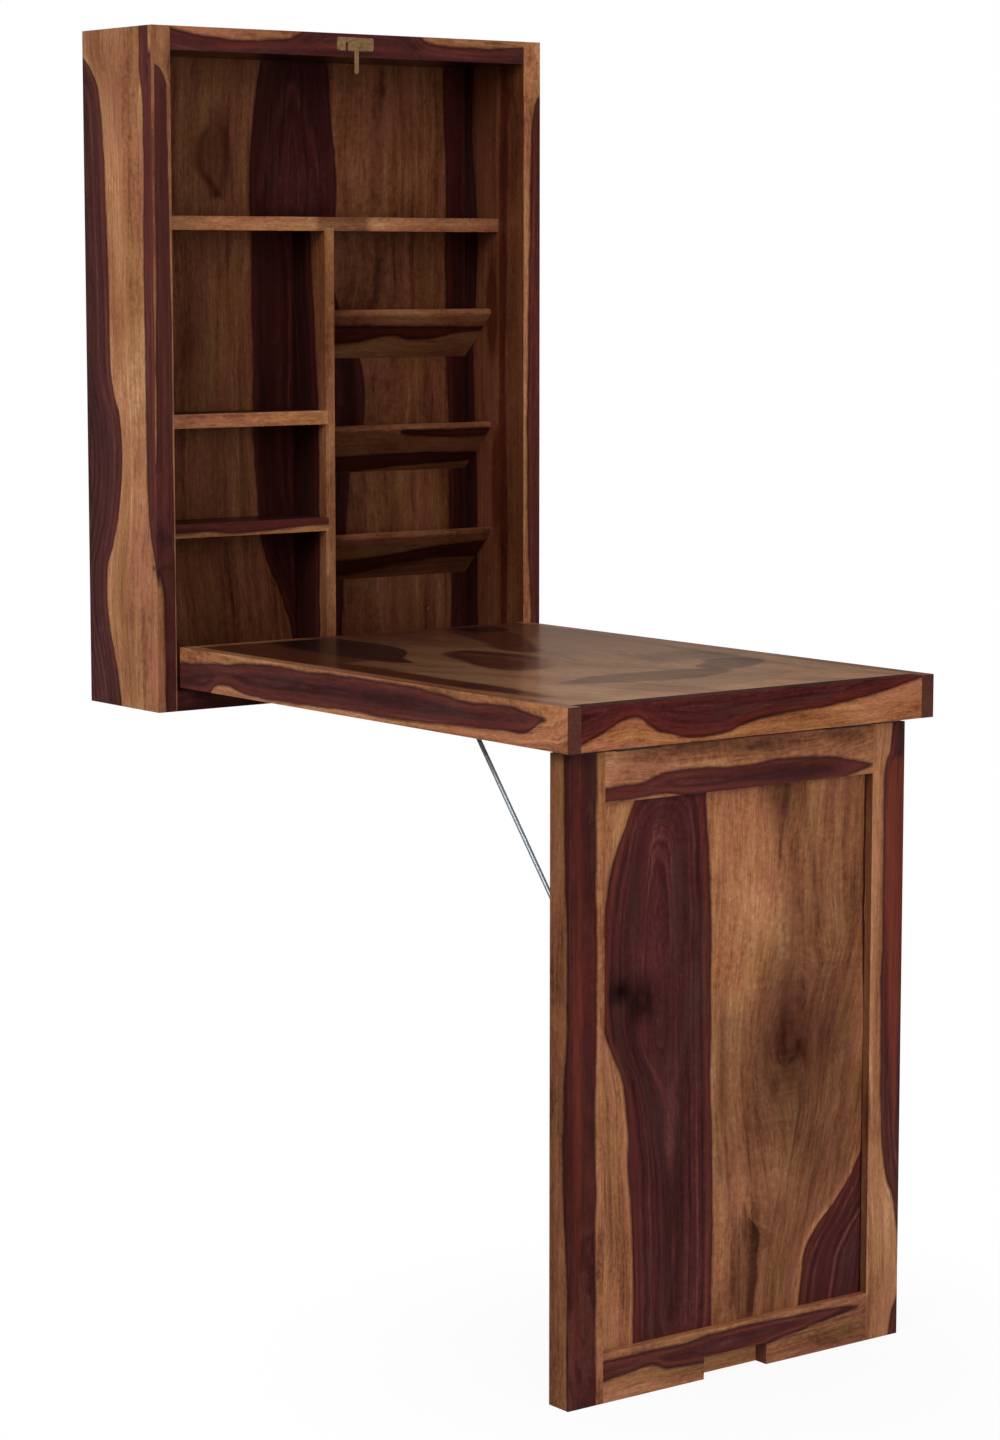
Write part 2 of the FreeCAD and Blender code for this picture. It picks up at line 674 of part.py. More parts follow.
def export():
    """Writes each sub-part to its own file, once the whole document is sound."""
    doc.recompute()
    for item in doc.Objects:
        if {"Invalid", "Error"} & set(item.State):
            raise RuntimeError(f"{item.Label} did not compute")
    os.makedirs("parts", exist_ok=True)
    for name, item in finished.items():
        if item.Shape.isNull() or not item.Shape.isValid() or not item.Shape.Solids:
            raise RuntimeError(f"{name} is not a sound solid")
        item.Shape.exportStep(f"parts/{name}.step")


write_sheet()
wall_desk()
export()
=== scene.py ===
import math

import bpy
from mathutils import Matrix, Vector

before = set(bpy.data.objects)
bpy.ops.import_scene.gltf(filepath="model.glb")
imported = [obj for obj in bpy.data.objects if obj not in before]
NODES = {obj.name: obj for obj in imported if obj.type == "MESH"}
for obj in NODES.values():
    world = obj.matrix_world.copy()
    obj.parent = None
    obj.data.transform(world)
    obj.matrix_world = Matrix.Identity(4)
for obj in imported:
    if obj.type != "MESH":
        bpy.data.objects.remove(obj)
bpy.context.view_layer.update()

MM = 0.001
FLOOR_LEVEL = -1.099

# Where the photographer stood, in the row frame.
CAMERA_PLACE = (-2.5506, -3.8257, 0.1171)
CAMERA_AZIMUTH = 37.104
CAMERA_TILT = 7.179
CAMERA_LENS = 90.22
CAMERA_FILM = 36
CAMERA_REACH = 200

# Where the studio's brighter side lies, and the narrow strip in it, as the lacquer of the desktop mirrors them,
# and the cosines of the angles to them at which each begins and is full.
WINDOW_DIRECTION = (0.62, 0.77, 0.13)
STRIP_DIRECTION = (0.6101, 0.7923, 0.0)
WINDOW_COSINES = (0.55, 0.97)
STRIP_COSINES = (0.9945, 0.9998)
# How bright glossy rays find the room, that side and the strip, and how warm.
ROOM_LEVEL, WINDOW_LEVEL, STRIP_LEVEL = 0.06, 0.14, 0.22
ROOM_WARMTH = (1, 0.81, 0.69, 1)
# The even light that comes from all round, and what the floor gives back in gloss.
EVEN_LEVEL = 0.25
FLOOR_GLOSS_LEVEL = 0.06
WHITE = (1, 1, 1, 1)
# The floor keeps a share of its shadow near the leg's foot, and is all white from a distance on, in metres.
FLOOR_GREY = (0.7, 0.7, 0.7, 1)
FLOOR_SIZE = 60
FLOOR_GAP = 0.0002
FOOT = (0, -0.85, FLOOR_LEVEL)
FADE_FROM, FADE_TO, WHITE_NEAR = 0.1, 0.6, 0.92


def linear(red, green, blue):
    """A colour written as it looks on a screen, 0 to 255, as the renderer takes it."""
    def decode(value):
        value /= 255
        return value / 12.92 if value <= 0.04045 else ((value + 0.055) / 1.055) ** 2.4
    return decode(red), decode(green), decode(blue), 1


class Tree:
    """Short names for making nodes in one node tree."""

    def __init__(self, tree):
        self.tree = tree

    def put(self, value, socket):
        if isinstance(value, bpy.types.NodeSocket):
            self.tree.links.new(value, socket)
        elif value is not None:
            socket.default_value = value

    def node(self, kind, values=(), **settings):
        made = self.tree.nodes.new(kind)
        for name, value in settings.items():
            setattr(made, name, value)
        for place, value in dict(values).items():
            self.put(value, made.inputs[place])
        return made

    def math(self, operation, *values, clamp=False):
        return self.node("ShaderNodeMath", enumerate(values), operation=operation, use_clamp=clamp).outputs[0]

    def vector(self, operation, *values):
        made = self.node("ShaderNodeVectorMath", enumerate(values), operation=operation)
        return made.outputs["Value" if operation in ("LENGTH", "DOT_PRODUCT") else "Vector"]

    def split(self, vector):
        return self.node("ShaderNodeSeparateXYZ", {0: vector}).outputs

    def join(self, x, y, z):
        return self.node("ShaderNodeCombineXYZ", {0: x, 1: y, 2: z}).outputs[0]

    def span(self, value, low, high, to_low=0.0, to_high=1.0, smooth=False):
        kind = "SMOOTHSTEP" if smooth else "LINEAR"
        return self.node("ShaderNodeMapRange", {0: value, 1: low, 2: high, 3: to_low, 4: to_high},
                         interpolation_type=kind).outputs[0]

    def ridge(self, value, start, full, turn, stop):
        """1 from full to turn, falling smoothly to 0 at start and at stop."""
        return self.math("MULTIPLY", self.span(value, start, full, smooth=True),
                         self.span(value, turn, stop, 1.0, 0.0, smooth=True))

    def noise(self, vector, detail=2.0, roughness=0.5, warp=0.0):
        return self.node("ShaderNodeTexNoise", {"Vector": vector, "Scale": 1.0, "Detail": detail,
                                                "Roughness": roughness, "Distortion": warp}).outputs[0]

    def mix(self, factor, first, second, blend="MIX"):
        return self.node("ShaderNodeMix", {0: factor, 6: first, 7: second},
                         data_type="RGBA", blend_type=blend).outputs[2]

    def ramp(self, factor, stops):
        made = self.node("ShaderNodeValToRGB", {0: factor})
        elements = made.color_ramp.elements
        while len(elements) < len(stops):
            elements.new(0.5)
        for element, (place, colour) in zip(elements, stops):
            element.position = place
            element.color = colour
        return made.outputs[0]

    def curve(self, factor, heights):
        """A smooth curve through (place, height) pairs, both from 0 to 1."""
        made = self.node("ShaderNodeFloatCurve", {1: factor})
        points = made.mapping.curves[0].points
        for place, height in heights[1:-1]:
            points.new(place, height)
        for point, (place, height) in zip(points, heights):
            point.location = (place, height)
        made.mapping.update()
        return made.outputs[0]


# Sheesham: golden to olive brown sapwood, purple brown heartwood in smooth waves with thin dark outlines.

SAP = ((0.0, linear(58, 27, 14)), (0.24, linear(101, 56, 33)), (0.52, linear(144, 90, 57)),
       (0.78, linear(168, 117, 78)), (1.0, linear(194, 146, 104)))
HEART = ((0.0, linear(30, 9, 9)), (0.35, linear(56, 21, 20)), (0.65, linear(78, 35, 33)),
         (1.0, linear(116, 66, 54)))
RED = ((0.0, linear(62, 20, 14)), (1.0, linear(128, 54, 36)))
PINK = linear(170, 106, 84)
OLIVE = linear(146, 106, 58)
SMOKE = linear(66, 50, 44)
WINE = linear(86, 27, 36)
OUTLINE = linear(42, 17, 14)
END_GRAIN = linear(82, 40, 33)
# The colour that painted shade darkens the wood towards; the knots and dark stains use it too.
GLOOM = linear(96, 63, 53)

# Each pattern repeats so many times a metre along the board, across it and through it.
PATTERNS = {
    "streaks": ((2.0, 95, 70), dict(detail=6.0, roughness=0.72)),
    "clouds": ((4.2, 11, 10), dict(detail=5.0, roughness=0.62, warp=0.9)),
    "fibres": ((30, 700, 700), dict(detail=3.0, roughness=0.75)),
    "pores": ((42, 1000, 1000), dict(detail=1.0)),
    "dashes": ((8, 140, 140), dict(detail=2.0)),
    "flecks": ((22, 260, 260), dict(detail=2.0, roughness=0.6)),
    "mottle": ((150, 260, 260), dict(detail=3.0, roughness=0.7)),
    "hue": ((7, 26, 26), dict(detail=4.0, roughness=0.6, warp=0.5)),
    "wander": ((30, 120, 120), dict(detail=3.0)),
}
# The growth rings repeat so many times a metre across the flow and along the board, and the clouds pattern
# pushes them about over so many metres.
RINGS = ((170, 1.5), dict(detail=4.0, roughness=0.68))
RING_PUSH = 0.02
# The values of these patterns from which they mark the wood, and at which they mark it fully.
MARKS = {"pores": (0.58, 0.72), "dashes": (0.62, 0.74), "flecks": (0.60, 0.74)}
# The shares of the patterns in each tone, and the sums at which it is darkest and palest.
SAP_TONE = (dict(streaks=0.9, clouds=1.0, fibres=0.4, rings=0.25, mottle=0.6), 1.18, 1.98)
HEART_TONE = (dict(streaks=0.45, rings=1.05, clouds=0.55, fibres=0.2, mottle=0.4), 0.98, 1.68)
RED_TONE = (dict(streaks=0.7, fibres=0.3), 0.32, 0.68)
# Each tint comes in from one value of the hue pattern to another, up to a share.
SAP_TINTS = ((0.50, 0.72, 0.5, PINK), (0.48, 0.30, 0.42, OLIVE))
HEART_TINTS = ((0.54, 0.76, 0.45, WINE), (0.46, 0.26, 0.4, SMOKE))
# Where the lines that follow the heartwood's edge start, are full, turn and stop, in metres inside it.
RED_RIM = (0.001, 0.004, 0.004, 0.014)
DARK_RIM = (-0.0032, -0.0002, 0.0004, 0.0040)
EDGE_BLUR = 0.0012
EDGE_WANDER = 0.004
# How far the fine grain follows the flow of the rings.
GRAIN_BEND = 0.45
# How strongly each mark shows, and the colour of the faces that cut across the grain.
RED_RIM_SHARE, DARK_RIM_SHARE, PORE_SHARE, FLECK_SHARE, END_SHARE = 0.40, 0.5, 0.4, 0.38, 0.9
END_PATTERN = (60, 420, 420)
# The roughness of dense and of open wood, what a pore adds to it, and how high fibres stand beside pores.
ROUGH_LOW, ROUGH_HIGH, PORE_ROUGH = 0.34, 0.48, 0.15
FIBRE_HEIGHT = 0.35


def sheesham_group():
    """Place is in board axes (along, across, deep) and Figure is how far inside the heartwood, in metres.
    Flow is the field that the growth rings follow."""
    group = bpy.data.node_groups.new("sheesham", "ShaderNodeTree")
    for name, kind in (("Place", "Vector"), ("Figure", "Float"), ("Flow", "Float"), ("Red", "Float"),
                       ("Shade", "Float"), ("End", "Float"), ("Pale", "Float")):
        group.interface.new_socket(name, in_out="INPUT", socket_type=f"NodeSocket{kind}")
    for name, kind in (("Color", "Color"), ("Roughness", "Float"), ("Height", "Float")):
        group.interface.new_socket(name, in_out="OUTPUT", socket_type=f"NodeSocket{kind}")
    t = Tree(group)
    given = t.node("NodeGroupInput").outputs
    place, figure, flow, red, shade, end, pale = (given[number] for number in range(7))
    along, across, deep = t.split(place)
    bent = t.math("MULTIPLY_ADD", flow, GRAIN_BEND, across)

    grain = {name: t.noise(t.join(t.math("MULTIPLY", along, length), t.math("MULTIPLY", bent, width),
                                  t.math("MULTIPLY", deep, depth)), **settings)
             for name, ((length, width, depth), settings) in PATTERNS.items()}
    pores, dashes, flecks = (t.span(grain[name], *reach) for name, reach in MARKS.items())
    ripple = t.math("MULTIPLY_ADD", t.math("SUBTRACT", grain["clouds"], 0.5), RING_PUSH, flow)
    (over_flow, along_flow), settings = RINGS
    grain["rings"] = t.noise(t.join(t.math("MULTIPLY", ripple, over_flow),
                                    t.math("MULTIPLY", along, along_flow), 0.0), **settings)
    wander = t.math("MULTIPLY", t.math("SUBTRACT", grain["wander"], 0.5), EDGE_WANDER)
    edge = t.math("ADD", figure, wander)

    def tone(shares, low, high):
        total = 0.0
        for name, share in shares.items():
            total = t.math("MULTIPLY_ADD", grain[name], share, total)
        return t.span(total, low, high)

    def tinted(colour, tints):
        for low, high, most, tint in tints:
            colour = t.mix(t.span(grain["hue"], low, high, 0.0, most), colour, tint)
        return colour

    sap = tinted(t.ramp(t.math("ADD", pale, tone(*SAP_TONE)), SAP), SAP_TINTS)
    heart = tinted(t.ramp(tone(*HEART_TONE), HEART), HEART_TINTS)
    red = t.math("MAXIMUM", red, t.math("MULTIPLY", t.ridge(edge, *RED_RIM), RED_RIM_SHARE))
    heart = t.mix(red, heart, t.ramp(tone(*RED_TONE), RED))
    colour = t.mix(t.span(edge, -EDGE_BLUR, EDGE_BLUR, smooth=True), sap, heart)
    for marks, share in ((t.ridge(edge, *DARK_RIM), DARK_RIM_SHARE),
                         (t.math("MAXIMUM", pores, dashes), PORE_SHARE), (flecks, FLECK_SHARE)):
        colour = t.mix(t.math("MULTIPLY", marks, share), colour, OUTLINE)
    # Painted shade, with the knots' and stains' own dark, pulls the colour towards GLOOM.
    colour = t.mix(shade, colour, t.mix(1.0, colour, GLOOM, "MULTIPLY"))
    ends = t.noise(t.vector("MULTIPLY", place, END_PATTERN), detail=3.0)
    end_colour = t.mix(t.span(ends, 0.3, 0.7), OUTLINE, END_GRAIN)
    colour = t.mix(t.math("MULTIPLY", end, END_SHARE), colour, end_colour)

    rough = t.math("MULTIPLY_ADD", pores, PORE_ROUGH, t.span(grain["streaks"], 0.2, 0.8, ROUGH_LOW, ROUGH_HIGH))
    height = t.math("SUBTRACT", t.math("MULTIPLY", grain["fibres"], FIBRE_HEIGHT), pores)
    out = t.node("NodeGroupOutput")
    for number, value in enumerate((colour, rough, height)):
        t.put(value, out.inputs[number])
    return group


SHEESHAM = sheesham_group()
AXIS = {"x": 0, "y": 1, "z": 2}


def smallest(t, soft, *values):
    """The least of some values, its corners rounded off over a width of soft metres."""
    least = values[0]
    for value in values[1:]:
        least = t.math("SMOOTH_MIN", least, value, soft)
    return least


def band(t, along, across, rows, soft, other=None, within=None):
    """How far inside a band a point is, in metres. rows are (along, low edge, high edge), in millimetres.
    within is the span of the other axis that the band is kept to."""
    start, stop = rows[0][0], rows[-1][0]
    edges = [edge for row in rows for edge in row[1:]]
    base, reach = min(edges) - 1, max(edges) - min(edges) + 2
    place = t.span(along, start * MM, stop * MM)
    low, high = (
        t.math("MULTIPLY_ADD",
               t.curve(place, [((row[0] - start) / (stop - start), (row[side] - base) / reach)
                               for row in rows]),
               reach * MM, base * MM)
        for side in (1, 2))
    inside = smallest(t, soft, t.math("SUBTRACT", across, low), t.math("SUBTRACT", high, across),
                      t.math("SUBTRACT", along, start * MM), t.math("SUBTRACT", stop * MM, along))
    if within:
        inside = smallest(t, 0.0, inside, t.math("SUBTRACT", other, within[0] * MM),
                          t.math("SUBTRACT", within[1] * MM, other))
    return inside


# Each seed moves a board this far through the wood, along it, across it and through it, in metres.
SEED_STEP = (3.1, 1.7, 2.3)
# A slow and a quick noise push the drawn figure about: repeats a metre, and the push in metres.
SLOW_WAVES, SLOW_PUSH = (5, 14, 14), 0.012
QUICK_WAVES, QUICK_PUSH = (26, 60, 60), 0.004
# A figure that is left to chance: repeats a metre, and how far inside the heartwood its middle can be.
CHANCE_WAVES, CHANCE_REACH = (2.1, 9.5, 8.0), 0.16
# How much the grain parts round a knot, and how much a knot and a stain vary over their area.
KNOT_SWIRL = 0.35
KNOT_VARIES = (0.3, 0.7, 0.75, 1.15)
STAIN_VARIES = (0.3, 0.7, 0.7, 1.15)
# How softly each kind of band ends, in metres, and how dark a stain is where its band says nothing.
BAND_SOFT, FLOW_SOFT, STAIN_SOFT, SEAM_SOFT = 0.008, 0.05, 0.007, 0.0006
RED_FADE = (-0.004, 0.006)
STAIN_DEPTH = 0.5
# The lacquer: specular level and coat weight at a gloss of 1, the coat's roughness, and the grain's relief.
SPECULAR, COAT, COAT_ROUGH = 0.5, 0.3, 0.16
RELIEF = {"Strength": 0.12, "Distance": 0.0004}


class Board:
    """Where one board's figure is read. grain, across and deep are its axes."""

    def __init__(self, t, grain, across, seed, wobble):
        self.t, self.grain, self.across = t, grain, across
        self.deep = ({"x", "y", "z"} - {grain, across}).pop()
        spot = t.node("ShaderNodeTexCoord").outputs
        self.parts = t.split(spot["Object"])
        self.normals = t.split(spot["Normal"])
        along, side, depth = (self.parts[AXIS[axis]] for axis in (grain, across, self.deep))
        self.start = t.vector("ADD", t.join(along, side, depth), [seed * step for step in SEED_STEP])
        self.slow = t.noise(t.vector("MULTIPLY", self.start, SLOW_WAVES), detail=2.0)
        self.quick = t.noise(t.vector("MULTIPLY", self.start, QUICK_WAVES), detail=2.0)
        self.push = t.math("ADD", t.math("MULTIPLY", t.math("SUBTRACT", self.slow, 0.5), SLOW_PUSH * wobble),
                           t.math("MULTIPLY", t.math("SUBTRACT", self.quick, 0.5), QUICK_PUSH * wobble))
        self.along = along
        self.drift = {grain: along, across: t.math("ADD", side, self.push),
                      self.deep: t.math("ADD", depth, self.push)}

    def field(self, bands, soft=BAND_SOFT):
        """How far inside the deepest of some bands a point is."""
        best = None
        for spec in bands:
            axis = spec.get("axis", self.across)
            other = self.deep if axis == self.across else self.across
            here = band(self.t, self.along, self.drift[axis], spec["points"], soft, self.drift[other],
                        spec.get("within"))
            here = self.t.math("MULTIPLY", here, spec.get("gain", 1.0))
            best = here if best is None else self.t.math("MAXIMUM", best, here)
        return best

    def figure(self, heart, sap, chance):
        """How far inside the heartwood: what chance gives, then the heartwood drawn, then the sapwood drawn."""
        t, figure = self.t, None
        if chance is not None:
            wave = t.noise(t.vector("MULTIPLY", self.start, CHANCE_WAVES), detail=1.5, warp=0.4)
            figure = t.math("MULTIPLY", t.math("SUBTRACT", wave, 1 - chance), CHANCE_REACH)
        if heart:
            here = self.field(heart)
            figure = here if figure is None else t.math("MAXIMUM", figure, here)
        if sap:
            here = t.math("MULTIPLY", self.field(sap), -1.0)
            figure = here if figure is None else t.math("MINIMUM", figure, here)
        return t.math("MULTIPLY", self.slow, -0.1) if figure is None else figure

    def knotted(self, knots, gloom):
        """The grain's sideways place, parted round the knots, and the gloom with the knots in it."""
        t = self.t
        sideways = t.math("ADD", t.split(self.start)[1], self.push)
        for place, side, length, width, depth in knots:
            aside = t.math("SUBTRACT", self.drift[self.across], side * MM)
            away = t.vector("LENGTH", t.join(
                t.math("DIVIDE", t.math("SUBTRACT", self.along, place * MM), length * MM),
                t.math("DIVIDE", aside, width * MM), 0.0))
            near = t.span(away, 0.0, 1.0, 1.0, 0.0, smooth=True)
            swirl = t.math("MULTIPLY", t.math("MULTIPLY", aside, near), KNOT_SWIRL)
            sideways = t.math("SUBTRACT", sideways, swirl)
            dark = t.math("MULTIPLY", t.math("MULTIPLY", near, t.span(self.quick, *KNOT_VARIES)), depth)
            gloom = t.math("ADD", gloom, dark, clamp=True)
        return sideways, gloom

    def add_stains_and_painted_reflection(self, stains_and_painted_reflection, gloom):
        """The gloom with the soft dark stains in it, the desktop's painted reflection of the cabinet among
        them, and with the light ones, of a depth below 0, taken out.
        """
        t = self.t
        for spec in stains_and_painted_reflection:
            soft, depth = spec.get("soft", STAIN_SOFT), spec.get("depth", STAIN_DEPTH)
            soaked = t.span(self.field([spec], soft), -soft, soft, 0.0, depth, smooth=True)
            dark = t.math("MULTIPLY", soaked, t.span(self.slow, *STAIN_VARIES))
            gloom = t.math("ADD", gloom, dark, clamp=True)
        return gloom

    def dimmed(self, dusk, gloom):
        """The gloom with the shade that lies on the faces that turn one way, such as a shelf's underside."""
        t = self.t
        for face, sign, axis, low, high, gloom_low, gloom_high in dusk:
            turned = t.span(t.math("MULTIPLY", self.normals[AXIS[face]], float(sign)), 0.3, 0.8)
            depth = t.span(self.parts[AXIS[axis]], low * MM, high * MM, gloom_low, gloom_high)
            gloom = t.math("ADD", gloom, t.math("MULTIPLY", turned, depth), clamp=True)
        return gloom

    def seamed(self, seams, gloom):
        """The gloom with sharp dark lines of painted shade in the gaps where two pieces meet."""
        if not seams:
            return gloom
        t = self.t
        return t.math("MAXIMUM", gloom, t.span(self.field(seams, 0.0), -SEAM_SOFT, SEAM_SOFT))

    def end(self):
        """1 on the faces that cut across the grain."""
        return self.t.span(self.t.math("ABSOLUTE", self.normals[AXIS[self.grain]]), 0.75, 0.95)


def wood(name, grain, across, heart=(), sap=(), red=(), flow=(), stains_and_painted_reflection=(), seams=(), knots=(), dusk=(),
         wobble=1.0, chance=None, seed=0.0, tone=0.0, rosy=0.8, pale=0.0, gloss=1.0):
    """Sheesham for one board. Bands are drawn over what chance gives, heartwood first and then sapwood.
    Each knot is (along, across, half length, half width, depth), in millimetres but for its depth.
    Each dusk is (face axis, face sign, axis, low, high, gloom low, gloom high), and paints shade on the faces
    that turn one way. chance is the share of heartwood where none is drawn, tone the painted shade all over,
    rosy how far the red bands turn red, and pale how much paler the sapwood is."""
    material = bpy.data.materials.new(f"sheesham_{name}")
    material.use_nodes = True
    t = Tree(material.node_tree)
    shader = material.node_tree.nodes["Principled BSDF"]
    board = Board(t, grain, across, seed, wobble)
    figure = board.figure(heart, sap, chance)
    follow = board.field(flow, FLOW_SOFT) if flow else figure
    redness = t.span(board.field(red), *RED_FADE, 0.0, rosy, smooth=True) if red else 0.0
    sideways, gloom = board.knotted(knots, float(tone))
    gloom = board.seamed(seams, board.dimmed(dusk, board.add_stains_and_painted_reflection(stains_and_painted_reflection, gloom)))
    place = t.split(board.start)
    made = t.node("ShaderNodeGroup", node_tree=SHEESHAM)
    for number, value in enumerate((t.join(place[0], sideways, place[2]), figure, follow, redness, gloom,
                                    board.end(), pale)):
        t.put(value, made.inputs[number])
    t.put(made.outputs[0], shader.inputs["Base Color"])
    t.put(made.outputs[1], shader.inputs["Roughness"])
    bump = t.node("ShaderNodeBump", {**RELIEF, "Height": made.outputs[2]})
    t.put(bump.outputs[0], shader.inputs["Normal"])
    shader.inputs["Specular IOR Level"].default_value = SPECULAR * gloss
    shader.inputs["Coat Weight"].default_value = COAT * gloss
    shader.inputs["Coat Roughness"].default_value = COAT_ROUGH
    return material


def points(*rows):
    """A band of (along, low edge, high edge), in millimetres, with nothing else to say of it."""
    return {"points": rows}


# The heights of the desktop board's upper part: a band within them shows on top and not on the underside.
UPPER = (-344, -330)
# The shade under each shelf, deeper towards the back panel.
SHELF_UNDERSIDE = ("z", -1, "y", -103, -32, 0.6, 0.8)
